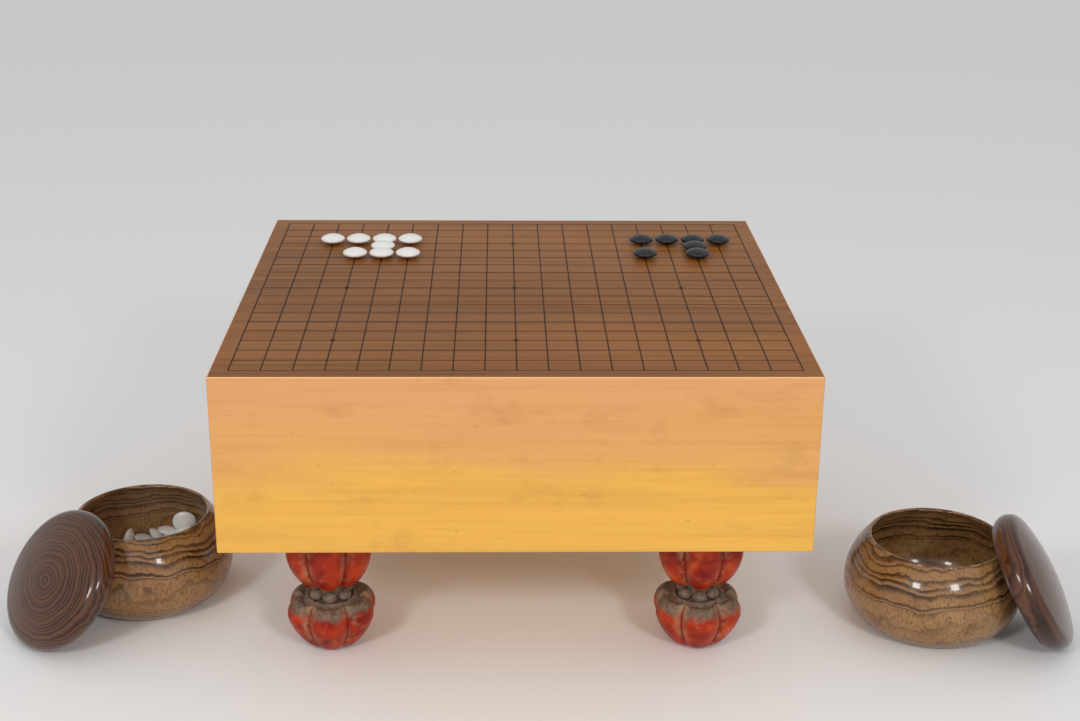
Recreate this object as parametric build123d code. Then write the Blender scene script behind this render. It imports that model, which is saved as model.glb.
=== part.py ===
from build123d import *
import math
import os

# A floor go board on four carved feet, set out with its two bowls of stones.
#
# The origin is on the floor, under the middle of the whole set. X runs along the wide
# front of the board, Y points away from the front player and Z is up. Sizes are in mm.

# ---------------------------------------------------------------- driving sizes
# board block and its drawn grid
BOARD_WIDTH = 454.0        # along X, across the front player's side
BOARD_DEPTH = 424.0        # along Y
BOARD_THICKNESS = 143.0
BOARD_EDGE_BEVEL = 0.8
GRID_LINES = 19
GRID_MARGIN = 14.0         # from the edge of the top to the outermost line
LINE_WIDTH = 0.9
LACQUER_FILM = 0.1         # thickness of one pass of lacquer
DOT_DIAMETER = 4.0
DOT_LINES = (3, 9, 15)     # the lines that carry the nine dots, counted from 0
NAVEL_WIDTH = 90.0         # square hollow in the middle of the underside
NAVEL_DEPTH = 30.0
NAVEL_SLOPE = 45.0         # of its four walls, in degrees

# carved feet
FOOT_HEIGHT = 119.0
FOOT_INSET = 76.8          # from the board's sides to the middle of a foot
LOBES = 6
LOBE_CREASE = 0.84         # radius in a crease, as a part of the radius on a crest
# levels of the carving: height as a part of the foot's height, then the crest radius
LOWER_BULB = ((0.0, 17.0), (0.042, 26.0), (0.101, 31.8), (0.168, 35.8), (0.244, 37.6),
              (0.319, 36.2), (0.357, 33.0))
UPPER_BULB = ((0.466, 13.5), (0.504, 24.7), (0.538, 30.0), (0.597, 34.4), (0.714, 36.6),
              (0.824, 35.4), (0.924, 31.0), (1.0, 27.0))
SHOULDER_LEVEL = 0.37
SHOULDER_RADIUS = 29.5
SHOULDER_DISH = 2.4        # how far the worn shoulder falls towards the collar
COLLAR_RADIUS = 19.5
NECK_RADIUS = 11.0
BEADS = 6
BEAD_RING_RADIUS = 12.5
BEAD_WIDTH = 12.4
BEAD_HEIGHT = 9.6
BEAD_SINK = 0.4            # how deep a bead sits in the collar
TENON_RADIUS = 18.0
TENON_LENGTH = 30.0
TENON_CLEARANCE = 0.3      # between the tenon and its mortise, all round and at its end

# turned bowls
BOWL_BELLY_RADIUS = 73.7
BOWL_BELLY_HEIGHT = 36.5
BOWL_BASE_RADIUS = 50.0
BOWL_HEIGHT = 77.5
BOWL_RIM_RADIUS = 57.0
BOWL_RIM_WALL = 3.6
BOWL_BELLY_WALL = 6.5
BOWL_FLOOR = 8.0
BOWL_FOOT_RECESS = 1.0
BOWL_FOOT_WIDTH = 7.0

# turned lids
LID_RADIUS = 59.2
LID_THICKNESS = 26.0
LID_EDGE_HEIGHT = 8.3      # of its widest line over the seat
LID_SHOULDER_ROUND = 11.0  # radius of the turn from the edge to the crown
LID_UNDERCUT = 3.0
LID_LIP_WIDTH = 3.0
LID_LIP_DEPTH = 2.5
LID_LIP_CLEARANCE = 0.6    # between the lip and the bowl's mouth
LID_CROWN_WALL = 7.0
LID_TRAY_ROUND = 6.0       # radius of the corner inside

# where the bowls stand from the middle of the board, and how each lid leans on its bowl
LEFT_BOWL_AT = (-317.5, -51.3)
RIGHT_BOWL_AT = (353.1, -102.7)
LEFT_LID_HEADING = -138.0  # where the crown looks, in degrees from X
LEFT_LID_BEARING = -127.0  # where the lid stands, seen from the bowl
LEFT_LID_TILT = 36.5       # angle of the crown's axis over the floor
RIGHT_LID_HEADING = -15.0
RIGHT_LID_BEARING = -25.0
RIGHT_LID_TILT = 31.5
LEAN_GAP = 0.3             # between a leaning lid and its bowl

# stones
STONE_DIAMETER = 21.7
STONE_THICKNESS = 8.8
STONE_EDGE = 2.6           # height of the rounded edge band
STONE_REST_GAP = 0.02      # between a stone and the lacquer under it
STONE_SPACING = 22.0       # of the stones that lie in the bowls
STONE_STACK_GAP = 0.3      # between stones of two layers
WHITE_ON_BOARD = ((2, 15), (3, 15), (4, 15), (5, 15), (4, 14), (3, 13), (4, 13), (5, 13))
BLACK_ON_BOARD = ((14, 15), (15, 15), (16, 15), (17, 15), (16, 14), (14, 13), (16, 13))
WHITE_LAYERS = (14, 12, 16, 11, 5)   # stones in each layer, from the bottom up
BLACK_LAYERS = (19, 12)
HEAP_TOP_HEADING = 35.0    # the side of the bowl that a heap leans to

# ---------------------------------------------------------------- sizes that follow
BOARD_BOTTOM = FOOT_HEIGHT
BOARD_TOP = FOOT_HEIGHT + BOARD_THICKNESS
SHOULDER_HEIGHT = SHOULDER_LEVEL * FOOT_HEIGHT
LINE_STEP_X = (BOARD_WIDTH - 2 * GRID_MARGIN) / (GRID_LINES - 1)
LINE_STEP_Y = (BOARD_DEPTH - 2 * GRID_MARGIN) / (GRID_LINES - 1)
FOOT_X = BOARD_WIDTH / 2 - FOOT_INSET
FOOT_Y = BOARD_DEPTH / 2 - FOOT_INSET
BOWL_MOUTH_RADIUS = BOWL_RIM_RADIUS - BOWL_RIM_WALL
LID_LIP_RADIUS = BOWL_MOUTH_RADIUS - LID_LIP_CLEARANCE
LID_TRAY_RADIUS = LID_LIP_RADIUS - LID_LIP_WIDTH
STONE_RADIUS = STONE_DIAMETER / 2
OVERRUN = 1.0              # how far a cut or a hidden joint runs past the face it crosses


def polar(radius, degrees):
    """A point at a distance and a heading from the origin, as an (x, y) pair."""
    return radius * math.cos(math.radians(degrees)), radius * math.sin(math.radians(degrees))


def turned(edges):
    """A turned piece: the closed outline drawn on the XZ plane, spun about Z."""
    return revolve(make_face(edges), Axis.Z)


# ---------------------------------------------------------------- board
def make_board_block():
    """The solid block with its bevelled edges, hollow navel and four mortises."""
    block = Pos(0, 0, BOARD_BOTTOM) * Box(
        BOARD_WIDTH, BOARD_DEPTH, BOARD_THICKNESS, align=(Align.CENTER, Align.CENTER, Align.MIN)
    )
    block = chamfer(block.edges(), BOARD_EDGE_BEVEL)
    navel = extrude(Rectangle(NAVEL_WIDTH, NAVEL_WIDTH), NAVEL_DEPTH, taper=NAVEL_SLOPE)
    block -= Pos(0, 0, BOARD_BOTTOM) * navel
    mortise = Cylinder(
        TENON_RADIUS + TENON_CLEARANCE, TENON_LENGTH + TENON_CLEARANCE,
        align=(Align.CENTER, Align.CENTER, Align.MIN),
    )
    for x in (-FOOT_X, FOOT_X):
        for y in (-FOOT_Y, FOOT_Y):
            block -= Pos(x, y, BOARD_BOTTOM) * mortise
    return block


def line_place(index, step):
    """Distance of a grid line from the middle of the board."""
    return (index - (GRID_LINES - 1) / 2) * step


def make_grid_lines():
    """Lines along X first, then the lines across them, each pass a thin raised film."""
    length_x = LINE_STEP_X * (GRID_LINES - 1) + LINE_WIDTH
    length_y = LINE_STEP_Y * (GRID_LINES - 1) + LINE_WIDTH
    base = (Align.CENTER, Align.CENTER, Align.MIN)
    strips = []
    for i in range(GRID_LINES):
        along = Box(length_x, LINE_WIDTH, LACQUER_FILM, align=base)
        strips.append(Pos(0, line_place(i, LINE_STEP_Y), BOARD_TOP) * along)
        across = Box(LINE_WIDTH, length_y, LACQUER_FILM, align=base)
        strips.append(Pos(line_place(i, LINE_STEP_X), 0, BOARD_TOP + LACQUER_FILM) * across)
    return Compound(strips)


def make_star_dots():
    """The nine dots, put on last over the crossings of the lines."""
    dot = Cylinder(DOT_DIAMETER / 2, LACQUER_FILM, align=(Align.CENTER, Align.CENTER, Align.MIN))
    height = BOARD_TOP + 2 * LACQUER_FILM
    return Compound([
        Pos(line_place(i, LINE_STEP_X), line_place(j, LINE_STEP_Y), height) * dot
        for i in DOT_LINES for j in DOT_LINES
    ])


# ---------------------------------------------------------------- feet
def lobed_section(level, crest):
    """A flower-shaped face of round lobes, with one lobe towards the front."""
    crease = crest * LOBE_CREASE
    half = 180 / LOBES
    arcs = []
    for k in range(LOBES):
        middle = -90 + 2 * half * k
        arcs.append(ThreePointArc(
            polar(crease, middle - half), polar(crest, middle), polar(crease, middle + half)
        ))
    return Pos(0, 0, level * FOOT_HEIGHT) * make_face(arcs)


def make_foot():
    """One carved foot, standing on the origin."""
    lower = loft([lobed_section(*level) for level in LOWER_BULB]
                 + [lobed_section(SHOULDER_LEVEL, SHOULDER_RADIUS)])
    upper = loft([lobed_section(*level) for level in UPPER_BULB])

    collar_height = SHOULDER_HEIGHT - SHOULDER_DISH
    dish = turned(Polyline(
        (0, collar_height), (COLLAR_RADIUS, collar_height), (SHOULDER_RADIUS, SHOULDER_HEIGHT),
        (SHOULDER_RADIUS, SHOULDER_HEIGHT + OVERRUN), (0, SHOULDER_HEIGHT + OVERRUN), close=True,
    ).locate(Location((0, 0, 0), (90, 0, 0))))

    neck_base = collar_height - OVERRUN
    neck_top = UPPER_BULB[1][0] * FOOT_HEIGHT
    neck = Pos(0, 0, neck_base) * Cylinder(
        NECK_RADIUS, neck_top - neck_base, align=(Align.CENTER, Align.CENTER, Align.MIN)
    )
    bead = scale(Sphere(BEAD_WIDTH / 2), by=(1, 1, BEAD_HEIGHT / BEAD_WIDTH))
    bead_height = collar_height + BEAD_HEIGHT / 2 - BEAD_SINK
    tenon = Pos(0, 0, FOOT_HEIGHT) * Cylinder(
        TENON_RADIUS, TENON_LENGTH, align=(Align.CENTER, Align.CENTER, Align.MIN)
    )
    foot = lower - dish + neck
    for k in range(BEADS):
        x, y = polar(BEAD_RING_RADIUS, -90 + 360 / BEADS * k)
        foot += Pos(x, y, bead_height) * bead
    return foot + upper + tenon


# ---------------------------------------------------------------- bowls and lids
def make_bowl():
    """One turned bowl, standing on the origin."""
    rim_round = BOWL_RIM_WALL / 2
    shoulder = BOWL_HEIGHT - rim_round
    inner_base = BOWL_BASE_RADIUS - BOWL_BELLY_WALL
    inner_belly = BOWL_BELLY_RADIUS - BOWL_BELLY_WALL
    recess_radius = BOWL_BASE_RADIUS - BOWL_FOOT_WIDTH
    with BuildSketch(Plane.XZ) as outline:
        with BuildLine():
            Polyline((0, BOWL_FOOT_RECESS), (recess_radius, BOWL_FOOT_RECESS),
                     (recess_radius, 0), (BOWL_BASE_RADIUS, 0))
            TangentArc((BOWL_BELLY_RADIUS, BOWL_BELLY_HEIGHT), (BOWL_BASE_RADIUS, 0),
                       tangent=(0, -1))
            TangentArc((BOWL_BELLY_RADIUS, BOWL_BELLY_HEIGHT), (BOWL_RIM_RADIUS, shoulder),
                       tangent=(0, 1))
            ThreePointArc((BOWL_RIM_RADIUS, shoulder),
                          (BOWL_RIM_RADIUS - rim_round, BOWL_HEIGHT),
                          (BOWL_MOUTH_RADIUS, shoulder))
            TangentArc((inner_belly, BOWL_BELLY_HEIGHT), (BOWL_MOUTH_RADIUS, shoulder),
                       tangent=(0, 1))
            TangentArc((inner_belly, BOWL_BELLY_HEIGHT), (inner_base, BOWL_FLOOR),
                       tangent=(0, -1))
            Polyline((inner_base, BOWL_FLOOR), (0, BOWL_FLOOR), (0, BOWL_FOOT_RECESS))
        make_face()
    return revolve(outline.sketch, Axis.Z)


def draw_crown(radius, base, top, shoulder):
    """Two arcs from the edge of a dome to its middle, which meet without a corner."""
    across = radius - shoulder
    rise = top - base
    crown = (across ** 2 + rise ** 2 - shoulder ** 2) / (2 * (rise - shoulder))
    reach = crown / (crown - shoulder)
    meeting = (across * reach, top - crown + (base - top + crown) * reach)
    TangentArc((radius, base), meeting, tangent=(0, 1))
    TangentArc((0, top), meeting, tangent=(1, 0))


def make_lid():
    """One turned lid, crown up, with its seat on the plane through the origin."""
    seat_radius = LID_RADIUS - LID_UNDERCUT
    with BuildSketch(Plane.XZ) as outline:
        with BuildLine():
            draw_crown(LID_RADIUS, LID_EDGE_HEIGHT, LID_THICKNESS, LID_SHOULDER_ROUND)
            TangentArc((LID_RADIUS, LID_EDGE_HEIGHT), (seat_radius, 0), tangent=(0, -1))
            Polyline((seat_radius, 0), (LID_LIP_RADIUS, 0), (LID_LIP_RADIUS, -LID_LIP_DEPTH),
                     (LID_TRAY_RADIUS, -LID_LIP_DEPTH), (LID_TRAY_RADIUS, LID_EDGE_HEIGHT))
            draw_crown(LID_TRAY_RADIUS, LID_EDGE_HEIGHT, LID_THICKNESS - LID_CROWN_WALL,
                       LID_TRAY_ROUND)
            Line((0, LID_THICKNESS - LID_CROWN_WALL), (0, LID_THICKNESS))
        make_face()
    return revolve(outline.sketch, Axis.Z)


def lean_lid(lid, bowl, bowl_at, heading, bearing, tilt_angle):
    """Stand the lid on its edge on the floor and move it in until its lip meets the bowl."""
    tilt = Rot(0, 0, heading) * Rot(0, 90 - tilt_angle, 0)
    tilt = Pos(0, 0, -(tilt * lid).bounding_box().min.Z) * tilt
    lip = tilt * lid.faces().sort_by(Axis.Z)[0]
    upper_wall = Compound([f for f in bowl.faces() if f.bounding_box().max.Z > BOWL_BELLY_HEIGHT + OVERRUN])
    distance = BOWL_BELLY_RADIUS + LID_RADIUS
    gap = distance
    while gap > LEAN_GAP * 1.1:
        x, y = polar(distance, bearing)
        gap = (Pos(x, y, 0) * lip).distance_to(upper_wall)
        distance -= gap - LEAN_GAP
    return Pos(bowl_at[0] + x, bowl_at[1] + y, 0) * tilt * lid


# ---------------------------------------------------------------- stones
def make_stone():
    """One lens-shaped stone with a rounded edge, lying on the origin."""
    middle = STONE_THICKNESS / 2
    edge_low = middle - STONE_EDGE / 2
    edge_high = middle + STONE_EDGE / 2
    edge_in = STONE_RADIUS - STONE_EDGE / 4
    with BuildSketch(Plane.XZ) as outline:
        with BuildLine():
            TangentArc((0, 0), (edge_in, edge_low), tangent=(1, 0))
            ThreePointArc((edge_in, edge_low), (STONE_RADIUS, middle), (edge_in, edge_high))
            TangentArc((0, STONE_THICKNESS), (edge_in, edge_high), tangent=(1, 0))
            Line((0, STONE_THICKNESS), (0, 0))
        make_face()
    return revolve(outline.sketch, Axis.Z)


def layer_rise():
    """Height from one layer of stones to the next, which sits in the dips of three stones."""
    face_height = (STONE_THICKNESS - STONE_EDGE) / 2
    edge_in = STONE_RADIUS - STONE_EDGE / 4
    face_radius = (edge_in ** 2 + face_height ** 2) / (2 * face_height)
    reach = STONE_SPACING / math.sqrt(3) / 2
    drop = face_radius - math.sqrt(face_radius ** 2 - reach ** 2)
    return STONE_THICKNESS - 2 * drop + STONE_STACK_GAP


def inner_radius(height):
    """Radius of the hollow of a bowl at a height over its base."""
    inner_belly = BOWL_BELLY_RADIUS - BOWL_BELLY_WALL
    if height < BOWL_BELLY_HEIGHT:
        reach = inner_belly - (BOWL_BASE_RADIUS - BOWL_BELLY_WALL)
        rise = BOWL_BELLY_HEIGHT - BOWL_FLOOR
    else:
        reach = inner_belly - BOWL_MOUTH_RADIUS
        rise = BOWL_HEIGHT - BOWL_RIM_WALL / 2 - BOWL_BELLY_HEIGHT
    arc = (reach ** 2 + rise ** 2) / (2 * reach)
    return inner_belly - arc + math.sqrt(arc ** 2 - (height - BOWL_BELLY_HEIGHT) ** 2)


def make_heap(stone, layers):
    """Loose stones in a bowl: staggered layers, each upper one gathered to one side."""
    row = STONE_SPACING * math.sqrt(3) / 2
    reach = math.ceil(BOWL_BELLY_RADIUS / STONE_SPACING)
    stones = []
    for level, count in enumerate(layers):
        height = BOWL_FLOOR + STONE_REST_GAP + level * layer_rise()
        shift = (level % 2) * STONE_SPACING / math.sqrt(3)
        room = inner_radius(height + STONE_THICKNESS / 2 - STONE_EDGE) - STONE_RADIUS - LEAN_GAP
        lean_x, lean_y = polar(room * level / len(layers), HEAP_TOP_HEADING)
        spots = []
        for j in range(-reach, reach + 1):
            for i in range(-reach, reach + 1):
                x = (i + (j % 2) / 2) * STONE_SPACING
                y = j * row + shift
                if math.hypot(x, y) < room:
                    spots.append((math.hypot(x - lean_x, y - lean_y), x, y))
        for _, x, y in sorted(spots)[:count]:
            stones.append(Pos(x, y, height) * stone)
    return Compound(stones)


# ---------------------------------------------------------------- the whole set
def build():
    """Every piece in its place, by name, before the set is centred."""
    pieces = {
        "board_block": make_board_block(),
        "grid_lines": make_grid_lines(),
        "star_dots": make_star_dots(),
    }

    foot = make_foot()
    for end, y in (("front", -FOOT_Y), ("back", FOOT_Y)):
        for side, x in (("left", -FOOT_X), ("right", FOOT_X)):
            pieces[f"foot_{end}_{side}"] = Pos(x, y, 0) * foot

    bowl = make_bowl()
    lid = make_lid()
    stone = make_stone()
    left = Pos(*LEFT_BOWL_AT, 0)
    right = Pos(*RIGHT_BOWL_AT, 0)
    pieces["left_bowl"] = left * bowl
    pieces["right_bowl"] = right * bowl
    pieces["left_lid"] = lean_lid(
        lid, bowl, LEFT_BOWL_AT, LEFT_LID_HEADING, LEFT_LID_BEARING, LEFT_LID_TILT
    )
    pieces["right_lid"] = lean_lid(
        lid, bowl, RIGHT_BOWL_AT, RIGHT_LID_HEADING, RIGHT_LID_BEARING, RIGHT_LID_TILT
    )
    pieces["white_stones_in_bowl"] = left * make_heap(stone, WHITE_LAYERS)
    pieces["black_stones_in_bowl"] = right * make_heap(stone, BLACK_LAYERS)

    for colour, crossings in (("white", WHITE_ON_BOARD), ("black", BLACK_ON_BOARD)):
        for number, (i, j) in enumerate(crossings, 1):
            films = 3 if i in DOT_LINES and j in DOT_LINES else 2
            place = Pos(line_place(i, LINE_STEP_X), line_place(j, LINE_STEP_Y),
                        BOARD_TOP + films * LACQUER_FILM + STONE_REST_GAP)
            pieces[f"{colour}_stone_{number}"] = place * stone
    return pieces


pieces = build()
span = Compound(list(pieces.values())).bounding_box()
centre_x = (span.min.X + span.max.X) / 2
centre_y = (span.min.Y + span.max.Y) / 2
os.makedirs("parts", exist_ok=True)
for name, piece in pieces.items():
    centred = Pos(-centre_x, -centre_y, 0) * piece
    centred.label = name
    export_step(centred, f"parts/{name}.step")
print(f"{len(pieces)} pieces, board middle at {-centre_x:.3f}, {-centre_y:.3f}")
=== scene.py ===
import math

import bmesh
import bpy
from mathutils import Matrix, Vector, noise


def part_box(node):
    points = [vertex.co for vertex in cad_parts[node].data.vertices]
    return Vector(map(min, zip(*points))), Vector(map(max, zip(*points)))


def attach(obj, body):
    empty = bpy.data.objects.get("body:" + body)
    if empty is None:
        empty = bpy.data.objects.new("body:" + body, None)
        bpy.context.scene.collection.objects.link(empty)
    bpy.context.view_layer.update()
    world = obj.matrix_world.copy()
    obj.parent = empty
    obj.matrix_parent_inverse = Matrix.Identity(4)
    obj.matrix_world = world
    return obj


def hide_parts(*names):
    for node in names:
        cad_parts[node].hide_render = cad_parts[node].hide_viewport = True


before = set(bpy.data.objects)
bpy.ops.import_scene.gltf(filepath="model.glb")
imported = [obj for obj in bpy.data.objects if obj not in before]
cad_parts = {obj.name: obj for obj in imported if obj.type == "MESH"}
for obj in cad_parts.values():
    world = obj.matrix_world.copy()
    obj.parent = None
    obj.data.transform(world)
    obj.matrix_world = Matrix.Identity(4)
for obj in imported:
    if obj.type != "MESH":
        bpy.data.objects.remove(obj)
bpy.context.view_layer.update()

# ---------------------------------------------------------------------------
# Camera. It stands a little left of the middle, 0.7 m over the floor, and looks
# down at the wide front of the board.
# ---------------------------------------------------------------------------
block_low, block_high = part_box("board_block")
block_middle = (block_low + block_high) / 2
CAMERA_FROM_MIDDLE = (-0.01409, -1.3607)   # in the plan, from the middle of the board
CAMERA_OVER_TOP = 0.44169
CAMERA_LENS = 56.04                        # mm
CAMERA_SENSOR = 36.0                       # mm wide
CAMERA_REACH = 50.0
CAMERA_YAW = 1.534                         # degrees to the right of straight ahead
CAMERA_PITCH = 20.449                      # degrees down
CAMERA_ROLL = 0.5447

yaw, pitch, roll = (math.radians(a) for a in (CAMERA_YAW, CAMERA_PITCH, CAMERA_ROLL))
forward = Vector((math.sin(yaw) * math.cos(pitch), math.cos(yaw) * math.cos(pitch), -math.sin(pitch)))
level = Vector((math.cos(yaw), -math.sin(yaw), 0))
upright = level.cross(forward)
right = math.cos(roll) * level + math.sin(roll) * upright
up = math.cos(roll) * upright - math.sin(roll) * level

camera = bpy.data.objects.new("camera", bpy.data.cameras.new("camera"))
camera.data.lens = CAMERA_LENS
camera.data.sensor_width = CAMERA_SENSOR
camera.data.clip_end = CAMERA_REACH
camera.matrix_world = Matrix((
    (right.x, up.x, -forward.x, block_middle.x + CAMERA_FROM_MIDDLE[0]),
    (right.y, up.y, -forward.y, block_middle.y + CAMERA_FROM_MIDDLE[1]),
    (right.z, up.z, -forward.z, block_high.z + CAMERA_OVER_TOP),
    (0, 0, 0, 1),
))
bpy.context.collection.objects.link(camera)
bpy.context.scene.camera = camera

# ---------------------------------------------------------------------------
# Light. Two soft boxes stand in front, left and right of the camera, and a pale
# room fills the shadows.
# ---------------------------------------------------------------------------
BOX_LIGHTS = (("left_soft_box", (-1.15, -2.0, 1.45)), ("right_soft_box", (0.95, -2.15, 1.4)))
BOX_WATTS = 14.0
BOX_SIZE = 0.42
LIGHT_AIM = (0, -0.1, 0.15)
ROOM_STRENGTH = 0.6

for name, place in BOX_LIGHTS:
    lamp = bpy.data.objects.new(name, bpy.data.lights.new(name, "AREA"))
    lamp.data.energy = BOX_WATTS
    lamp.data.shape = "SQUARE"
    lamp.data.size = BOX_SIZE
    lamp.location = place
    aim = Vector(LIGHT_AIM) - lamp.location
    lamp.rotation_euler = aim.to_track_quat("-Z", "Y").to_euler()
    bpy.context.collection.objects.link(lamp)

world = bpy.data.worlds.new("room")
bpy.context.scene.world = world
world.use_nodes = True
world.node_tree.nodes["Background"].inputs["Color"].default_value = (1, 1, 1, 1)
world.node_tree.nodes["Background"].inputs["Strength"].default_value = ROOM_STRENGTH
bpy.context.scene.view_settings.view_transform = "Standard"

# ---------------------------------------------------------------------------
# Floor. A plain pale sheet under the set, which is no part of it. It is matt, so that
# it takes soft shadows and throws a little light back up.
# ---------------------------------------------------------------------------


def new_material(name):
    """An empty node material with a Principled shader, and its tree."""
    material = bpy.data.materials.new(name)
    material.use_nodes = True
    tree = material.node_tree
    tree.nodes.clear()
    shader = tree.nodes.new("ShaderNodeBsdfPrincipled")
    output = tree.nodes.new("ShaderNodeOutputMaterial")
    tree.links.new(shader.outputs["BSDF"], output.inputs["Surface"])
    return material, tree, shader


def paint(red, green, blue):
    """A colour as it looks on a screen, 0 to 255, made linear for a socket."""
    return tuple((c / 255) ** 2.2 for c in (red, green, blue)) + (1.0,)


FLOOR_HALF = 6.0
FLOOR_COLOUR = paint(246, 246, 246)
FLOOR_ROUGHNESS = 0.9
FLOOR_SHEEN = 0.1

floor_mesh = bpy.data.meshes.new("floor")
floor_mesh.from_pydata(
    [(-FLOOR_HALF, -FLOOR_HALF, 0), (FLOOR_HALF, -FLOOR_HALF, 0),
     (FLOOR_HALF, FLOOR_HALF, 0), (-FLOOR_HALF, FLOOR_HALF, 0)], [], [(0, 1, 2, 3)])
floor = bpy.data.objects.new("floor", floor_mesh)
bpy.context.collection.objects.link(floor)
floor_material, _, floor_shader = new_material("pale_floor")
floor_shader.inputs["Base Color"].default_value = FLOOR_COLOUR
floor_shader.inputs["Roughness"].default_value = FLOOR_ROUGHNESS
floor_shader.inputs["Specular IOR Level"].default_value = FLOOR_SHEEN
floor_mesh.materials.append(floor_material)

# ---------------------------------------------------------------------------
# Board block. One thick block of straight-grained softwood with the grain along X,
# planed and oiled. Its sides are salmon at the top and golden towards the foot,
# the playing face is painted a darker brown, partly its own tone and partly painted
# shade, and the ends show end grain.
# ---------------------------------------------------------------------------


def add(tree, kind, sockets=None, **settings):
    """A new node. Each socket gets a value, or a link where another socket is given."""
    node = tree.nodes.new(kind)
    for key, value in settings.items():
        setattr(node, key, value)
    for key, value in (sockets or {}).items():
        if isinstance(value, bpy.types.NodeSocket):
            tree.links.new(value, node.inputs[key])
        else:
            node.inputs[key].default_value = value
    return node


def ramp(tree, value, stops):
    """A colour ramp over a value, with (position, colour) stops."""
    node = add(tree, "ShaderNodeValToRGB", {"Fac": value})
    elements = node.color_ramp.elements
    while len(elements) < len(stops):
        elements.new(0.5)
    for element, (position, colour) in zip(elements, stops):
        element.position = position
        element.color = colour
    return node.outputs["Color"]


def math_node(tree, operation, first, second=0.0, clamp=False):
    """The result of one Math node."""
    node = add(tree, "ShaderNodeMath", {0: first, 1: second}, operation=operation, use_clamp=clamp)
    return node.outputs[0]


def mix_colour(tree, amount, first, second):
    """One colour mixed into another."""
    node = add(tree, "ShaderNodeMix", data_type="RGBA")
    for index, value in ((0, amount), (6, first), (7, second)):
        if isinstance(value, bpy.types.NodeSocket):
            tree.links.new(value, node.inputs[index])
        else:
            node.inputs[index].default_value = value
    return node.outputs[2]


def noise_value(tree, place, scale, detail=3.0, roughness=0.5, stretch=None):
    """Soft random values over a place, 0 to 1, with an optional stretch of the place."""
    if stretch is not None:
        place = add(tree, "ShaderNodeMapping", {"Vector": place, "Scale": stretch}).outputs[0]
    node = add(tree, "ShaderNodeTexNoise", {
        "Vector": place, "Scale": scale, "Detail": detail, "Roughness": roughness})
    return node.outputs["Fac"]


def span(tree, value, low, high, to_low=0.0, to_high=1.0):
    """A value moved from one range to another, clamped."""
    node = add(tree, "ShaderNodeMapRange", {
        "Value": value, "From Min": low, "From Max": high, "To Min": to_low, "To Max": to_high})
    return node.outputs["Result"]


def object_place(tree):
    """Where a point is in the set, in metres."""
    return add(tree, "ShaderNodeTexCoord").outputs["Object"]


SIDE_TOP = paint(222, 160, 108)
SIDE_MIDDLE = paint(224, 166, 98)
SIDE_FOOT = paint(236, 178, 84)
# painted shade: the playing face is painted darker than the sides, partly the wood's own brown
PLAYING_FACE_WITH_PAINTED_SHADE = paint(156, 100, 48)
PLAYING_STREAK = paint(98, 54, 18)
PLAYING_GLOW = paint(176, 112, 52)
GRAIN_DARK = paint(186, 122, 66)
SMUDGE = paint(176, 118, 66)
EDGE_PAINTED_HIGHLIGHT = paint(244, 190, 132)
END_GRAIN = paint(214, 152, 92)
END_RING = paint(168, 106, 56)
# how often the grain changes along X, Y and Z, per metre
SIDE_GRAIN = (3.0, 120.0, 90.0)
SIDE_FIBRE = (9.0, 900.0, 700.0)
FACE_GRAIN = (2.2, 150.0, 60.0)
FACE_FIBRE = (10.0, 1100.0, 60.0)
FACE_GLOW = (3.0, 9.0, 3.0)
WANDER_SCALE = 5.0
WANDER_STRETCH = (1.0, 2.0, 3.0)
BLOTCH_STRETCH = (1.0, 1.0, 1.6)
SPECK_STRETCH = (0.6, 1.0, 1.0)
BLOTCH_SCALE = 26.0
SPECK_SCALE = 210.0
HEART_SHIFT = (0, -0.12, 0.05)             # puts the heart of the tree under the back half of the block
END_RING_SCALE = 46.0
OILED_SHEEN = 0.14
FIBRE_RELIEF = 0.0004

board_wood, tree, shader = new_material("board_wood")
place = object_place(tree)
split = add(tree, "ShaderNodeSeparateXYZ", {"Vector": place})
wander = noise_value(tree, place, WANDER_SCALE, 3, stretch=WANDER_STRETCH)
height = math_node(tree, "ADD", span(tree, split.outputs["Z"], block_low.z, block_high.z),
                   span(tree, wander, 0.2, 0.8, -0.22, 0.22))
side = ramp(tree, height, (
    (0.0, SIDE_FOOT), (0.36, SIDE_FOOT), (0.55, SIDE_MIDDLE), (0.95, SIDE_TOP)))

coarse = noise_value(tree, place, 1.0, 4, 0.6, stretch=SIDE_GRAIN)
fine = noise_value(tree, place, 1.0, 3, 0.7, stretch=SIDE_FIBRE)
streaks = math_node(tree, "ADD", span(tree, coarse, 0.45, 0.8, 0, 0.35),
                    span(tree, fine, 0.45, 0.8, 0, 0.22))
side = mix_colour(tree, streaks, side, GRAIN_DARK)
smudge = noise_value(tree, place, BLOTCH_SCALE, 4, 0.6, stretch=BLOTCH_STRETCH)
blotch = span(tree, smudge, 0.56, 0.78, 0, 0.34)
side = mix_colour(tree, blotch, side, SMUDGE)
nick = noise_value(tree, place, SPECK_SCALE, 2, 0.5, stretch=SPECK_STRETCH)
speck = span(tree, nick, 0.71, 0.82, 0, 0.45)
side = mix_colour(tree, speck, side, SMUDGE)

top_lines = span(tree, noise_value(tree, place, 1.0, 4, 0.65, stretch=FACE_GRAIN), 0.36, 0.68)
top_fine = span(tree, noise_value(tree, place, 1.0, 3, 0.7, stretch=FACE_FIBRE), 0.35, 0.75)
# the playing face colour is partly the wood's own brown and partly painted shade that darkens the top
face = mix_colour(tree, math_node(tree, "MULTIPLY", top_lines, 0.68), PLAYING_FACE_WITH_PAINTED_SHADE, PLAYING_STREAK)
face = mix_colour(tree, math_node(tree, "MULTIPLY", top_fine, 0.35), face, PLAYING_STREAK)
glow = span(tree, noise_value(tree, place, 1.0, 2, stretch=FACE_GLOW), 0.42, 0.72, 0, 0.42)
face = mix_colour(tree, glow, face, PLAYING_GLOW)

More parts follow.
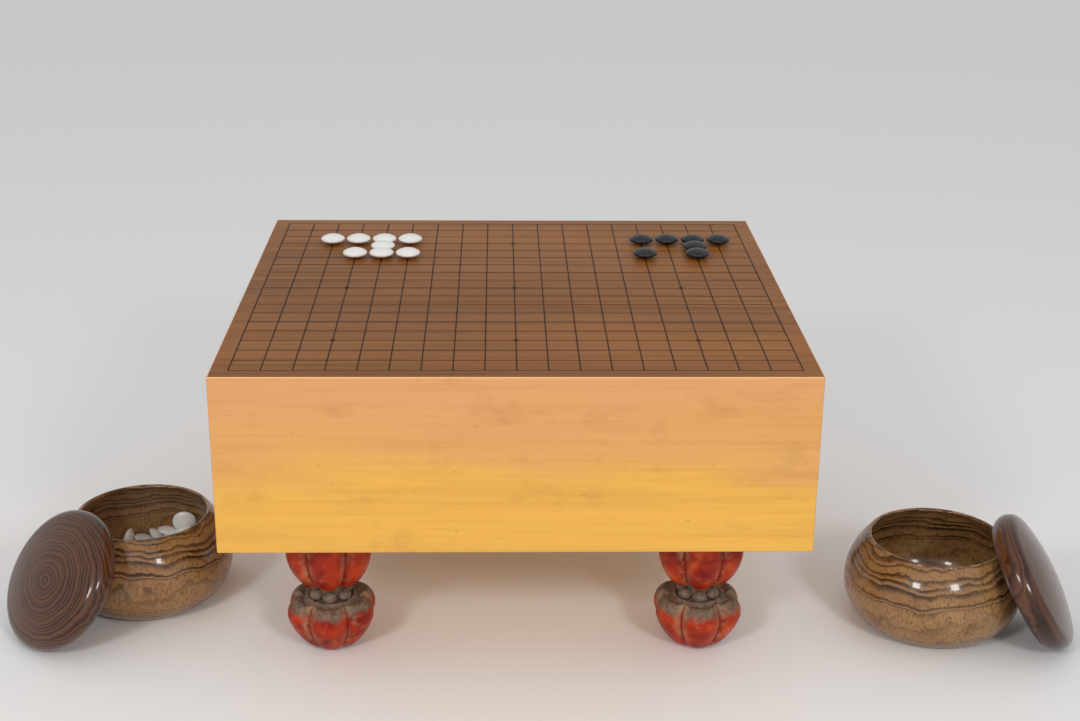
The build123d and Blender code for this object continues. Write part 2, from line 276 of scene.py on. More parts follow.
facing = add(tree, "ShaderNodeNewGeometry").outputs["True Normal"]
normal = add(tree, "ShaderNodeSeparateXYZ", {"Vector": facing})
faces_up = span(tree, normal.outputs["Z"], 0.8, 0.95)
# painted highlight: the bevelled edges between the top and the sides are painted a bright cream, as if
# they caught the light
bevel_highlight = math_node(tree, "MULTIPLY", span(tree, normal.outputs["Z"], 0.3, 0.5),
                  math_node(tree, "SUBTRACT", 1.0, faces_up))
ends = span(tree, math_node(tree, "ABSOLUTE", normal.outputs["X"]), 0.8, 0.95)

ring_place = add(tree, "ShaderNodeMapping", {
    "Vector": place, "Location": HEART_SHIFT, "Scale": (0.001, 1.0, 1.0)}).outputs[0]
rings = add(tree, "ShaderNodeTexWave", {
    "Vector": ring_place, "Scale": END_RING_SCALE, "Distortion": 2.2, "Detail": 3.0,
    "Detail Scale": 0.6},
    wave_type="RINGS", rings_direction="X").outputs["Fac"]
end_grain = mix_colour(tree, span(tree, rings, 0.5, 1.0, 0, 0.5), END_GRAIN, END_RING)
colour = mix_colour(tree, ends, side, end_grain)
colour = mix_colour(tree, faces_up, colour, face)
colour = mix_colour(tree, bevel_highlight, colour, EDGE_PAINTED_HIGHLIGHT)
tree.links.new(colour, shader.inputs["Base Color"])
tree.links.new(span(tree, coarse, 0.3, 0.8, 0.34, 0.48), shader.inputs["Roughness"])
shader.inputs["Specular IOR Level"].default_value = OILED_SHEEN
relief = add(tree, "ShaderNodeBump", {"Height": fine, "Strength": 0.12, "Distance": FIBRE_RELIEF})
tree.links.new(relief.outputs["Normal"], shader.inputs["Normal"])
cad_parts["board_block"].data.materials.clear()
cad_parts["board_block"].data.materials.append(board_wood)

# ---------------------------------------------------------------------------
# Drawn grid. Raised lines of dark lacquer and nine dots, laid on with a blade and
# a stick, a little uneven in how thick they dried.
# ---------------------------------------------------------------------------
LACQUER = paint(28, 16, 12)
LACQUER_THIN = paint(58, 32, 20)
LACQUER_ROUGHNESS = 0.5
LACQUER_SHEEN = 0.12
DRYING_SCALE = 60.0

line_lacquer, tree, shader = new_material("line_lacquer")
thin = span(tree, noise_value(tree, object_place(tree), DRYING_SCALE, 3), 0.4, 0.75)
tree.links.new(mix_colour(tree, thin, LACQUER, LACQUER_THIN), shader.inputs["Base Color"])
shader.inputs["Roughness"].default_value = LACQUER_ROUGHNESS
shader.inputs["Specular IOR Level"].default_value = LACQUER_SHEEN
for name in ("grid_lines", "star_dots"):
    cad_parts[name].data.materials.clear()
    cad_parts[name].data.materials.append(line_lacquer)

# ---------------------------------------------------------------------------
# Feet. Each is carved from one piece into two bulbs of six lobes with a ring of
# beads between them, and pushed into the block with a round tenon. The vermilion
# lacquer is worn through to grey wood on the shoulder and the beads and scuffed
# beside the creases, and the creases carry painted shade in a deeper red.
# ---------------------------------------------------------------------------
LOBES = 6
STEPS_PER_LOBE = 24
STEPS_PER_LEVEL = 4
# going up the carving: height, crest radius, depth of the creases, droop of the lobes
FOOT_LEVELS = (
    (0.0, 0.0150, 0.08, 0.0), (0.0008, 0.0172, 0.12, 0.0), (0.0050, 0.0232, 0.14, 0.0),
    (0.0120, 0.0288, 0.15, 0.0), (0.0200, 0.0336, 0.15, 0.0), (0.0290, 0.0371, 0.16, 0.0),
    (0.0360, 0.0364, 0.17, 0.0), (0.0408, 0.0338, 0.20, 0.0), (0.0432, 0.0304, 0.21, 0.0),
    (0.0428, 0.0272, 0.16, 0.0), (0.0412, 0.0238, 0.05, 0.0), (0.0418, 0.0212, 0.0, 0.0),
    (0.0438, 0.0194, 0.0, 0.0), (0.0430, 0.0174, 0.0, 0.0), (0.0416, 0.0160, 0.0, 0.0),
    (0.0416, 0.0125, 0.0, 0.0), (0.0430, 0.0110, 0.0, 0.0), (0.0500, 0.0106, 0.0, 0.0),
    (0.0535, 0.0118, 0.04, 0.0006), (0.0560, 0.0150, 0.14, 0.0026), (0.0590, 0.0205, 0.18, 0.0032),
    (0.0630, 0.0262, 0.19, 0.0024), (0.0690, 0.0312, 0.19, 0.0012), (0.0765, 0.0348, 0.18, 0.0004),
    (0.0860, 0.0366, 0.16, 0.0), (0.0980, 0.0354, 0.15, 0.0), (0.1100, 0.0310, 0.14, 0.0),
    (0.1190, 0.0270, 0.12, 0.0))
TENON_RADIUS = 0.018
TENON_LENGTH = 0.030
BEADS = 6
BEAD_RING_RADIUS = 0.0125
BEAD_WIDTH = 0.0124
BEAD_HEIGHT = 0.0096
BEAD_MIDDLE = 0.0458
VERMILION = paint(180, 54, 14)
# a deep red, used for random deeper patches of lacquer and for painted shade in the creases
DEEP_VERMILION_AND_CREASE_SHADE = paint(120, 18, 5)
VERMILION_LIGHT = paint(202, 92, 32)
BARE_WOOD = paint(134, 114, 98)
BARE_WOOD_DARK = paint(92, 76, 64)
SCUFF = paint(188, 142, 106)
# the band worn to bare wood, going up: where it starts, is full, is still full and ends
WORN_STARTS = 0.031
WORN_FULL_FROM = 0.042
WORN_FULL_TO = 0.054
WORN_ENDS = 0.058
# how fine each kind of wear is, per metre
PATCH_SCALE = 46.0
PALE_PATCH_SCALE = 62.0
TEAR_SCALE = 110.0
SCUFF_SCALE = 150.0
RUB_SCALE = 90.0
GRIT_SCALE = 260.0
GRIT_RELIEF = 0.0008
FOOT_SHEEN = 0.25
LOBE_FLATNESS = 2.4        # higher makes flatter lobes and narrower creases
FULL_CREASE = 0.12         # the depth at which a crease counts as full
SHARP_ANGLE = 42.0
BEAD_SEGMENTS = 20
BEAD_ROWS = 12

foot_lacquer, tree, shader = new_material("foot_lacquer")
place = object_place(tree)
split = add(tree, "ShaderNodeSeparateXYZ", {"Vector": place})
crease = add(tree, "ShaderNodeAttribute", attribute_name="crease").outputs["Fac"]
patch = noise_value(tree, place, PATCH_SCALE, 4, 0.6)
grit = noise_value(tree, place, GRIT_SCALE, 3, 0.7)
colour = mix_colour(tree, span(tree, patch, 0.36, 0.62), VERMILION, DEEP_VERMILION_AND_CREASE_SHADE)
pale_patch = span(tree, noise_value(tree, place, PALE_PATCH_SCALE, 3), 0.52, 0.74, 0, 0.8)
colour = mix_colour(tree, pale_patch, colour, VERMILION_LIGHT)
# painted shade: the creases between the lobes are darkened towards the deep red
colour = mix_colour(tree, span(tree, crease, 0.72, 1.0, 0, 0.75), colour, DEEP_VERMILION_AND_CREASE_SHADE)
band = math_node(tree, "MULTIPLY", span(tree, split.outputs["Z"], WORN_STARTS, WORN_FULL_FROM),
                 span(tree, split.outputs["Z"], WORN_ENDS, WORN_FULL_TO))
torn = span(tree, noise_value(tree, place, TEAR_SCALE, 5, 0.7), 0.28, 0.66, -0.42, 0.32)
bare = span(tree, math_node(tree, "ADD", band, torn), 0.32, 0.86)
grey = mix_colour(tree, span(tree, grit, 0.38, 0.68), BARE_WOOD, BARE_WOOD_DARK)
colour = mix_colour(tree, bare, colour, grey)
rubbed = math_node(tree, "MULTIPLY", span(tree, crease, 0.6, 0.86), span(tree, crease, 1.0, 0.9))
broken = span(tree, noise_value(tree, place, RUB_SCALE, 4, 0.7), 0.42, 0.66, 0, 0.75)
scattered = span(tree, noise_value(tree, place, SCUFF_SCALE, 4, 0.7), 0.6, 0.74, 0, 0.5)
scuffs = math_node(tree, "ADD", scattered, math_node(tree, "MULTIPLY", rubbed, broken), clamp=True)
colour = mix_colour(tree, scuffs, colour, SCUFF)
tree.links.new(colour, shader.inputs["Base Color"])
tree.links.new(span(tree, bare, 0, 1, 0.38, 0.75), shader.inputs["Roughness"])
shader.inputs["Specular IOR Level"].default_value = FOOT_SHEEN
relief = add(tree, "ShaderNodeBump", {"Height": grit, "Strength": 0.35, "Distance": GRIT_RELIEF})
tree.links.new(relief.outputs["Normal"], shader.inputs["Normal"])

bead_ring = bpy.data.node_groups.new("bead_ring", "GeometryNodeTree")
# what the tree is given: its inputs, with their kinds and values
BEAD_INPUTS = {
    "Beads": ("NodeSocketInt", BEADS),
    "Ring Radius": ("NodeSocketFloat", BEAD_RING_RADIUS),
    "Bead Size": ("NodeSocketVector", (BEAD_WIDTH, BEAD_WIDTH, BEAD_HEIGHT)),
    "Height": ("NodeSocketFloat", BEAD_MIDDLE)}
bead_sockets = {}
for title, (kind, value) in BEAD_INPUTS.items():
    bead_sockets[title] = bead_ring.interface.new_socket(title, in_out="INPUT", socket_type=kind)
bead_ring.interface.new_socket("Geometry", in_out="OUTPUT", socket_type="NodeSocketGeometry")
given = bead_ring.nodes.new("NodeGroupInput")
circle = add(bead_ring, "GeometryNodeMeshCircle", {
    "Vertices": given.outputs["Beads"], "Radius": given.outputs["Ring Radius"]})
bead = add(bead_ring, "GeometryNodeMeshUVSphere", {
    "Segments": BEAD_SEGMENTS, "Rings": BEAD_ROWS, "Radius": 0.5})
lift = add(bead_ring, "ShaderNodeCombineXYZ", {"Z": given.outputs["Height"]})
ring = add(bead_ring, "GeometryNodeSetPosition", {
    "Geometry": circle.outputs["Mesh"], "Offset": lift.outputs[0]})
beads = add(bead_ring, "GeometryNodeInstanceOnPoints", {
    "Points": ring.outputs["Geometry"], "Instance": bead.outputs["Mesh"],
    "Scale": given.outputs["Bead Size"]})
solid = add(bead_ring, "GeometryNodeRealizeInstances", {"Geometry": beads.outputs["Instances"]})
dressed = add(bead_ring, "GeometryNodeSetMaterial", {
    "Geometry": solid.outputs["Geometry"], "Material": foot_lacquer})
result = bead_ring.nodes.new("NodeGroupOutput")
bead_ring.links.new(dressed.outputs["Geometry"], result.inputs["Geometry"])


def foot_levels():
    """The levels of the carving, with smooth steps between them, and the tenon on top."""
    ends = (FOOT_LEVELS[0],) + FOOT_LEVELS + (FOOT_LEVELS[-1],)
    levels = []
    for before, first, second, after in zip(ends, ends[1:], ends[2:], ends[3:]):
        for step in range(STEPS_PER_LEVEL):
            t = step / STEPS_PER_LEVEL
            levels.append([
                max(0.0, 0.5 * (2 * b + (c - a) * t + (2 * a - 5 * b + 4 * c - d) * t ** 2
                                + (3 * b - a - 3 * c + d) * t ** 3))
                for a, b, c, d in zip(before, first, second, after)])
    levels.append(FOOT_LEVELS[-1])
    top = FOOT_LEVELS[-1][0]
    return levels + [(top, TENON_RADIUS, 0, 0), (top + TENON_LENGTH, TENON_RADIUS, 0, 0)]


def carve_foot(name):
    """One foot about the origin, with its beads, and how near each point is to a crease."""
    around = LOBES * STEPS_PER_LOBE
    levels = foot_levels()
    points, creases = [(0, 0, 0)], [0.0]
    for height, crest, depth, droop in levels:
        for k in range(around):
            angle = 2 * math.pi * k / around - math.pi / 2
            off = abs((k / STEPS_PER_LOBE + 0.5) % 1 - 0.5) * 2
            radius = crest * (1 - depth * off ** LOBE_FLATNESS)
            hung = height - droop * (1 - off ** 2)
            points.append((radius * math.cos(angle), radius * math.sin(angle), hung))
            creases.append(off * min(1.0, depth / FULL_CREASE))
    points.append((0, 0, levels[-1][0]))
    creases.append(0.0)
    faces = []
    last = 1 + (len(levels) - 1) * around
    for k in range(around):
        after = (k + 1) % around
        faces.append((0, 1 + after, 1 + k))
        for ring_number in range(len(levels) - 1):
            here, there = 1 + ring_number * around, 1 + (ring_number + 1) * around
            faces.append((here + k, here + after, there + after, there + k))
        faces.append((last + k, last + after, len(points) - 1))
    mesh = bpy.data.meshes.new(name)
    mesh.from_pydata(points, [], faces)
    mesh.attributes.new("crease", "FLOAT", "POINT").data.foreach_set("value", creases)

    string = bpy.data.objects.new("bead_string", bpy.data.meshes.new("bead_string"))
    bpy.context.collection.objects.link(string)
    beading = string.modifiers.new("beads", "NODES")
    beading.node_group = bead_ring
    for title, (kind, value) in BEAD_INPUTS.items():
        beading[bead_sockets[title].identifier] = value
    depsgraph = bpy.context.evaluated_depsgraph_get()
    turned = bpy.data.meshes.new_from_object(string.evaluated_get(depsgraph))
    bpy.data.objects.remove(string)
    turned.transform(Matrix.Rotation(math.pi / BEADS, 4, "Z"))
    both = bmesh.new()
    both.from_mesh(mesh)
    both.from_mesh(turned)
    both.to_mesh(mesh)
    both.free()
    mesh.materials.append(foot_lacquer)
    mesh.shade_smooth()
    mesh.set_sharp_from_angle(angle=math.radians(SHARP_ANGLE))
    return mesh


for corner in ("front_left", "front_right", "back_left", "back_right"):
    low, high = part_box(f"foot_{corner}")
    mesh = carve_foot(f"carved_foot_{corner}")
    mesh.transform(Matrix.Translation(((low.x + high.x) / 2, (low.y + high.y) / 2, 0)))
    foot = bpy.data.objects.new(f"carved_foot_{corner}", mesh)
    bpy.context.collection.objects.link(foot)
    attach(foot, "board")
    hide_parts(f"foot_{corner}")

# ---------------------------------------------------------------------------
# Bowls. Each is turned from one striped block with its growth layers lying flat,
# so the wall shows wavy dark lines near the rim and the base, and a broad speckled
# figure on the belly. A thick varnish gives it a deep shine.
# ---------------------------------------------------------------------------
STRIPE_LIGHT = paint(164, 126, 82)
STRIPE_WARM = paint(142, 98, 60)
STRIPE_SHADE = paint(90, 52, 32)
STRIPE_DARK = paint(38, 16, 9)
SPECK = paint(96, 62, 38)
# how fine each kind of unevenness is, per metre
WAVE_SCALE = 22.0
RIPPLE_SCALE = 75.0
FAINT_SCALE = 30.0
WARM_SCALE = 34.0
PORES = (620.0, 620.0, 240.0)
# how far it moves a line, in layers
WAVE = 1.1
RIPPLE = 0.28
CROWDING = 0.9
CROWDING_SCALE = 0.45
# a line across one layer: how dark it is, from 0 to 1, at each place in the layer
LINE_SHAPE = ((0.0, 0.0), (0.38, 0.12), (0.66, 0.9), (0.9, 1.0), (1.0, 0.0))
MM_PER_METRE = 1000.0
# layers in each millimetre of height, and the heights past which they lie closer
BELLY_LAYERS = 0.045
RIM_LAYERS = 0.15
RIM_LAYERS_FROM = 42.0
BASE_LAYERS = 0.1
BASE_LAYERS_FROM = 16.0
# how far the layers tilt, in mm of height for each metre across
LAYER_SLOPE = 60.0
# how strongly the lines show: between two heights in mm, the strengths at each
RIM_LINES = (34.0, 50.0, 0.35, 0.95)
BASE_LINES = (20.0, 8.0, 0.3, 0.75)
# how each bowl is turned on the floor, in radians
BOWL_TURNS = (("left", 0.9), ("right", 2.6))
WOOD_SHEEN = 0.25
VARNISH = 0.55
VARNISH_ROUGHNESS = 0.09


def new_group(name, inputs, outputs):
    """An empty shader node group with named inputs and outputs."""
    group = bpy.data.node_groups.new(name, "ShaderNodeTree")
    kinds = {"vector": "NodeSocketVector", "value": "NodeSocketFloat", "colour": "NodeSocketColor"}
    for title, kind, default in inputs:
        socket = group.interface.new_socket(title, in_out="INPUT", socket_type=kinds[kind])
        if default is not None:
            socket.default_value = default
    for title, kind in outputs:
        group.interface.new_socket(title, in_out="OUTPUT", socket_type=kinds[kind])
    return group, group.nodes.new("NodeGroupInput"), group.nodes.new("NodeGroupOutput")


stripes, given, result = new_group(
    "growth_layers",
    (("Place", "vector", None), ("Layer", "value", 0.0), ("Strength", "value", 1.0),
     ("Shade", "value", 0.0), ("Waver", "value", 1.0)),
    (("Colour", "colour"), ("Figure", "value")))
wave = noise_value(stripes, given.outputs["Place"], WAVE_SCALE, 3, 0.55)
ripple = noise_value(stripes, given.outputs["Place"], RIPPLE_SCALE, 2, 0.5)
waver = math_node(stripes, "ADD", span(stripes, wave, 0.2, 0.8, -WAVE, WAVE),
                  span(stripes, ripple, 0.2, 0.8, -RIPPLE, RIPPLE))
waver = math_node(stripes, "MULTIPLY", waver, given.outputs["Waver"])
layer = math_node(stripes, "ADD", given.outputs["Layer"], waver)
spacing = add(stripes, "ShaderNodeTexNoise", {"W": layer, "Scale": CROWDING_SCALE, "Detail": 1.0},
              noise_dimensions="1D").outputs["Fac"]
crowding = span(stripes, spacing, 0.2, 0.8, -CROWDING, CROWDING)
crowding = math_node(stripes, "MULTIPLY", crowding, given.outputs["Waver"])
layer = math_node(stripes, "ADD", layer, crowding)
phase = math_node(stripes, "FRACT", layer)
line = ramp(stripes, phase, [(position, (dark, dark, dark, 1)) for position, dark in LINE_SHAPE])
line = math_node(stripes, "MULTIPLY", line, given.outputs["Strength"])
faint = span(stripes, noise_value(stripes, given.outputs["Place"], FAINT_SCALE, 3), 0.3, 0.6, 0.55, 1.0)
line = math_node(stripes, "MULTIPLY", line, faint)
warm = span(stripes, noise_value(stripes, given.outputs["Place"], WARM_SCALE, 4, 0.6), 0.35, 0.7)
tone = mix_colour(stripes, warm, STRIPE_LIGHT, STRIPE_WARM)
tone = mix_colour(stripes, given.outputs["Shade"], tone, STRIPE_SHADE)
pores = noise_value(stripes, given.outputs["Place"], 1.0, 2, 0.6, stretch=PORES)
tone = mix_colour(stripes, span(stripes, pores, 0.5, 0.68, 0, 0.75), tone, SPECK)
tone = mix_colour(stripes, line, tone, STRIPE_DARK)
stripes.links.new(tone, result.inputs["Colour"])
stripes.links.new(line, result.inputs["Figure"])


def striped_wood(name, layer_of, shade=0.0, waver=1.0):
    """Varnished striped wood. layer_of gives a layer's number and strength, and the piece's own place."""
    material, tree, shader = new_material(name)
    number, strength, local = layer_of(tree, object_place(tree))
    figure = add(tree, "ShaderNodeGroup", {
        "Place": local, "Layer": number, "Strength": strength, "Shade": shade, "Waver": waver},
        node_tree=stripes)
    tree.links.new(figure.outputs["Colour"], shader.inputs["Base Color"])
    tree.links.new(span(tree, figure.outputs["Figure"], 0, 1, 0.34, 0.26), shader.inputs["Roughness"])
    shader.inputs["Specular IOR Level"].default_value = WOOD_SHEEN
    shader.inputs["Coat Weight"].default_value = VARNISH
    shader.inputs["Coat Roughness"].default_value = VARNISH_ROUGHNESS
    return material


def bowl_layers(centre, turn):
    """Layers of a bowl that stands at a centre: close at the rim and base, wide at the belly."""
    def layer_of(tree, place):
        local = add(tree, "ShaderNodeMapping", {
            "Vector": place, "Location": (centre.x, centre.y, 0), "Rotation": (0, 0, turn)},
            vector_type="TEXTURE").outputs[0]
        split = add(tree, "ShaderNodeSeparateXYZ", {"Vector": local})
        height = math_node(tree, "MULTIPLY", split.outputs["Z"], MM_PER_METRE)
        slope = math_node(tree, "MULTIPLY", split.outputs["X"], LAYER_SLOPE)
        height = math_node(tree, "ADD", height, slope)
        over = math_node(tree, "MAXIMUM", math_node(tree, "SUBTRACT", height, RIM_LAYERS_FROM), 0.0)
        under = math_node(tree, "MINIMUM", math_node(tree, "SUBTRACT", height, BASE_LAYERS_FROM), 0.0)
        closer = math_node(tree, "ADD", math_node(tree, "MULTIPLY", over, RIM_LAYERS),
                           math_node(tree, "MULTIPLY", under, BASE_LAYERS))
        number = math_node(tree, "ADD", math_node(tree, "MULTIPLY", height, BELLY_LAYERS), closer)
        strength = math_node(tree, "MAXIMUM", span(tree, height, *RIM_LINES),
                             span(tree, height, *BASE_LINES))
        return number, strength, local
    return layer_of


for side, turn in BOWL_TURNS:
    low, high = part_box(f"{side}_bowl")
    wood = striped_wood(f"{side}_bowl_wood", bowl_layers((low + high) / 2, turn))
    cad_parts[f"{side}_bowl"].data.materials.clear()
    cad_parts[f"{side}_bowl"].data.materials.append(wood)

# ---------------------------------------------------------------------------
# Lids. Each is turned from the same wood with the heart of the tree near the
# middle of its crown, so it shows close irregular rings, darker than the bowls.
# ---------------------------------------------------------------------------
# side, heading and lean in degrees, and where the heart of the tree is from the middle
LID_LEANS = (("left", -138.0, 36.5, (0.004, 0.006)), ("right", -15.0, 31.5, (0.006, 0.016)))
LID_LIP_DEPTH = 0.0025
RINGS_PER_METRE = 310.0
RINGS_PER_RISE = -120.0    # the rings widen towards the crown
RING_SQUASH = 0.82         # the rings are longer one way
LID_SHADE = 0.95
LID_WAVER = 0.8


def lid_layers(origin, turn, heart):
    """Rings of a lid about its heart, in the lid's own frame."""
    def layer_of(tree, place):
        local = add(tree, "ShaderNodeMapping", {
            "Vector": place, "Location": origin, "Rotation": turn}, vector_type="TEXTURE").outputs[0]
        split = add(tree, "ShaderNodeSeparateXYZ", {"Vector": local})
        across = math_node(tree, "SUBTRACT", split.outputs["X"], heart[0])
        along = math_node(tree, "SUBTRACT", split.outputs["Y"], heart[1])
        along = math_node(tree, "MULTIPLY", along, RING_SQUASH)
        reach = math_node(tree, "SQRT", math_node(tree, "ADD", math_node(tree, "POWER", across, 2.0),
                                                  math_node(tree, "POWER", along, 2.0)))
        number = math_node(tree, "MULTIPLY", reach, RINGS_PER_METRE)
        risen = math_node(tree, "MULTIPLY", split.outputs["Z"], RINGS_PER_RISE)
        return math_node(tree, "ADD", number, risen), 1.0, local
    return layer_of


for side, heading, lean, heart in LID_LEANS:
    turn = (Matrix.Rotation(math.radians(heading), 3, "Z")
            @ Matrix.Rotation(math.radians(90 - lean), 3, "Y"))
    local = [turn.transposed() @ v.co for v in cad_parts[f"{side}_lid"].data.vertices]
    middle_x = (min(p.x for p in local) + max(p.x for p in local)) / 2
    middle_y = (min(p.y for p in local) + max(p.y for p in local)) / 2
    origin = turn @ Vector((middle_x, middle_y, min(p.z for p in local) + LID_LIP_DEPTH))
    layers = lid_layers(origin, turn.to_euler(), heart)
    wood = striped_wood(f"{side}_lid_wood", layers, LID_SHADE, LID_WAVER)
    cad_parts[f"{side}_lid"].data.materials.clear()
    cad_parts[f"{side}_lid"].data.materials.append(wood)

# ---------------------------------------------------------------------------
# Stones. The white ones are ground from shell, with faint growth lines under a
# high polish, and the black ones from slate, with a satin surface.
# ---------------------------------------------------------------------------
SHELL = paint(247, 246, 241)
SHELL_LINE = paint(222, 218, 204)
SLATE = paint(24, 25, 28)
SLATE_PALE = paint(44, 46, 52)
SHELL_LINES = 260.0
SHELL_ROUGHNESS = 0.18
SHELL_POLISH = 0.4
POLISH_ROUGHNESS = 0.08
SLATE_CLOUDS = 180.0

shell, tree, shader = new_material("shell")
place = object_place(tree)
shell_lines = add(tree, "ShaderNodeTexWave", {
    "Vector": place, "Scale": SHELL_LINES, "Distortion": 1.5, "Detail": 1.0, "Detail Scale": 0.4},
    wave_type="BANDS", bands_direction="DIAGONAL").outputs["Fac"]
colour = mix_colour(tree, span(tree, shell_lines, 0.6, 1.0, 0, 0.4), SHELL, SHELL_LINE)
tree.links.new(colour, shader.inputs["Base Color"])
shader.inputs["Roughness"].default_value = SHELL_ROUGHNESS
shader.inputs["Coat Weight"].default_value = SHELL_POLISH
shader.inputs["Coat Roughness"].default_value = POLISH_ROUGHNESS

slate, tree, shader = new_material("slate")
place = object_place(tree)
cloud = noise_value(tree, place, SLATE_CLOUDS, 3)
colour = mix_colour(tree, span(tree, cloud, 0.4, 0.75), SLATE, SLATE_PALE)
tree.links.new(colour, shader.inputs["Base Color"])
tree.links.new(span(tree, cloud, 0.3, 0.7, 0.3, 0.4), shader.inputs["Roughness"])

for name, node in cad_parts.items():
    if "stone" in name:
        node.data.materials.clear()
        node.data.materials.append(shell if name.startswith("white") else slate)

# ---------------------------------------------------------------------------
# Heaps. The loose stones in each bowl lie as they fell when they were poured in:
# they are dropped into the bowl here and left to settle.
# ---------------------------------------------------------------------------
STONE_DIAMETER = 0.0217
STONE_THICKNESS = 0.0088
STONE_EDGE = 0.0026
POUR_SCALE = 20.0          # the fall is worked out on pieces this much larger
POUR_FRAMES = 110
POUR_SUBSTEPS = 10
POUR_ITERATIONS = 20
# the stones fall three at a time: the ring that they start on, its height, the step
# between rings, how far each ring is turned, and how unevenly they are let go
POUR_RING = 0.015
POUR_START = 0.02
POUR_STEP = 0.0115
POUR_TURN = 0.9
POUR_JITTER = 0.002
POUR_TUMBLE = 0.5
STONES_A_RING = 3
STONE_FRICTION = 0.9
STONE_BOUNCE = 0.05
STONE_MASS = 0.5
STONE_DRAG = 0.1
STONE_SPIN_DRAG = 0.3
TOUCH_MARGIN = 0.001
STONE_RINGS = 5
STONE_SEGMENTS = 32
POUR_STONE_RINGS = 2
POUR_STONE_SEGMENTS = 14
# colour, bowl, stones, where they are poured from the middle, seed and finish
HEAPS = (("white", "left_bowl", 57, (0.019, 0.019), 3, shell),
         ("black", "right_bowl", 25, (0.0, 0.0), 8, slate))
# the hollow of a bowl, from its floor up: height and radius
HOLLOW = (
    (0.008, 0.0), (0.008, 0.0435), (0.015, 0.0570), (0.022, 0.0630), (0.029, 0.0663),
    (0.0365, 0.0672), (0.047, 0.0663), (0.058, 0.0634), (0.068, 0.0588), (0.0757, 0.0534),
    (0.110, 0.0534))
HOLLOW_SIDES = 40


def lens_mesh(name, rings, segments):
    """One stone about the origin: two shallow domes and a rounded edge."""
    half = STONE_THICKNESS / 2
    edge = STONE_EDGE / 2
    inner = STONE_DIAMETER / 2 - STONE_EDGE / 4
    dome = (inner ** 2 + (half - edge) ** 2) / (2 * (half - edge))
    upper = []
    for k in range(1, rings + 1):
        radius = inner * k / rings
        upper.append((radius, half - dome + math.sqrt(dome ** 2 - radius ** 2)))
    outline = upper + [(STONE_DIAMETER / 2, 0.0)] + [(r, -z) for r, z in reversed(upper)]
    points = [(0, 0, half)]
    for radius, height in outline:
        for k in range(segments):
            angle = 2 * math.pi * k / segments
            points.append((radius * math.cos(angle), radius * math.sin(angle), height))
    points.append((0, 0, -half))
    faces = []
    for k in range(segments):
        after = (k + 1) % segments
        faces.append((0, 1 + k, 1 + after))
        for ring in range(len(outline) - 1):
            here, there = 1 + ring * segments, 1 + (ring + 1) * segments
            faces.append((here + k, there + k, there + after, here + after))
        last = 1 + (len(outline) - 1) * segments
        faces.append((last + k, len(points) - 1, last + after))
    mesh = bpy.data.meshes.new(name)
    mesh.from_pydata(points, [], faces)
    return mesh


def hollow_mesh():
    """The inside of a bowl as a plain skin, for the stones to fall into."""
    points = [(0, 0, HOLLOW[0][0])]
    for height, radius in HOLLOW[1:]:
        for k in range(HOLLOW_SIDES):
            angle = 2 * math.pi * k / HOLLOW_SIDES
            points.append((radius * math.cos(angle), radius * math.sin(angle), height))
    faces = []
    for k in range(HOLLOW_SIDES):
        after = (k + 1) % HOLLOW_SIDES
        faces.append((0, 1 + k, 1 + after))
        for ring_number in range(len(HOLLOW) - 2):
            here, there = 1 + ring_number * HOLLOW_SIDES, 1 + (ring_number + 1) * HOLLOW_SIDES
            faces.append((here + k, there + k, there + after, here + after))
    mesh = bpy.data.meshes.new("pour_wall")
    mesh.from_pydata(points, [], faces)
    return mesh


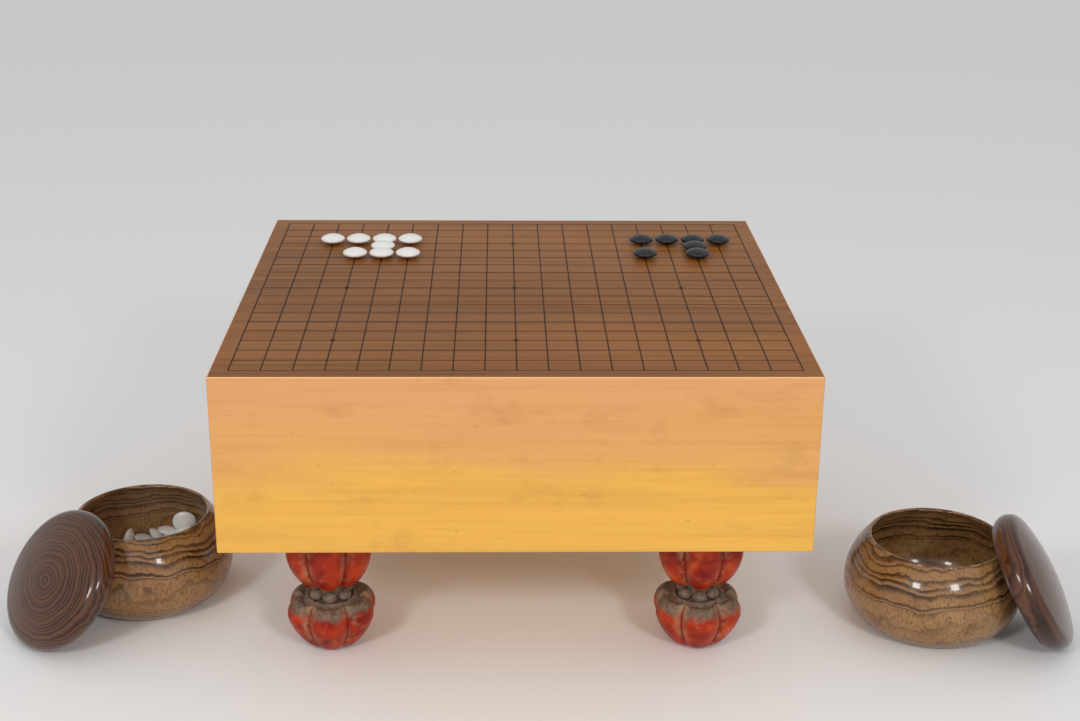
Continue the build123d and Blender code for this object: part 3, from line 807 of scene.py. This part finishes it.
def settle(count, aim):
    """Pours stones into a bowl and returns where each one came to rest, in the bowl's frame."""
    scene = bpy.context.scene
    bpy.ops.rigidbody.world_add()
    scene.rigidbody_world.substeps_per_frame = POUR_SUBSTEPS
    scene.rigidbody_world.solver_iterations = POUR_ITERATIONS
    scene.rigidbody_world.point_cache.frame_end = POUR_FRAMES
    skin = hollow_mesh()
    skin.transform(Matrix.Scale(POUR_SCALE, 4))
    wall = bpy.data.objects.new("pour_wall", skin)
    bpy.context.collection.objects.link(wall)
    shape = lens_mesh("pour_stone", POUR_STONE_RINGS, POUR_STONE_SEGMENTS)
    shape.transform(Matrix.Scale(POUR_SCALE, 4))
    falling = []
    for k in range(count):
        stone = bpy.data.objects.new(f"pour_stone_{k}", shape)
        ring, seat = divmod(k, STONES_A_RING)
        angle = 2 * math.pi * seat / STONES_A_RING + POUR_TURN * ring
        jitter = noise.random_vector() * POUR_JITTER
        start = Vector((aim[0] + POUR_RING * math.cos(angle), aim[1] + POUR_RING * math.sin(angle),
                        POUR_START + POUR_STEP * ring))
        stone.location = (start + jitter) * POUR_SCALE
        stone.rotation_euler = tuple(noise.random_vector() * POUR_TUMBLE)
        bpy.context.collection.objects.link(stone)
        falling.append(stone)
    for thing in (wall, *falling):
        bpy.context.view_layer.objects.active = thing
        bpy.ops.rigidbody.object_add(type="PASSIVE" if thing is wall else "ACTIVE")
        thing.rigid_body.collision_shape = "MESH" if thing is wall else "CONVEX_HULL"
        thing.rigid_body.use_margin = True
        thing.rigid_body.collision_margin = TOUCH_MARGIN
        thing.rigid_body.friction = STONE_FRICTION
        thing.rigid_body.restitution = STONE_BOUNCE
        if thing is not wall:
            thing.rigid_body.mass = STONE_MASS
            thing.rigid_body.linear_damping = STONE_DRAG
            thing.rigid_body.angular_damping = STONE_SPIN_DRAG
    for step in range(1, POUR_FRAMES + 1):
        scene.frame_set(step)
    depsgraph = bpy.context.evaluated_depsgraph_get()
    shrink = Matrix.Scale(1 / POUR_SCALE, 4)
    grow = Matrix.Scale(POUR_SCALE, 4)
    rests = [shrink @ stone.evaluated_get(depsgraph).matrix_world.copy() @ grow for stone in falling]
    bpy.ops.rigidbody.world_remove()
    scene.frame_set(1)
    for thing in (wall, *falling):
        bpy.data.objects.remove(thing)
    return rests


for colour, bowl, count, aim, seed, material in (HEAPS):
    noise.seed_set(seed)
    low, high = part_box(bowl)
    middle = (low + high) / 2
    stone_mesh = lens_mesh(f"{colour}_stone_shape", STONE_RINGS, STONE_SEGMENTS)
    heap_mesh = bmesh.new()
    for rest in settle(count, aim):
        one = stone_mesh.copy()
        one.transform(Matrix.Translation((middle.x, middle.y, 0)) @ rest)
        heap_mesh.from_mesh(one)
        bpy.data.meshes.remove(one)
    finished = bpy.data.meshes.new(f"{colour}_heap")
    heap_mesh.to_mesh(finished)
    heap_mesh.free()
    finished.materials.append(material)
    finished.shade_smooth()
    heap = bpy.data.objects.new(f"{colour}_heap", finished)
    bpy.context.collection.objects.link(heap)
    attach(heap, f"{bowl}_set")
    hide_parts(f"{colour}_stones_in_bowl")
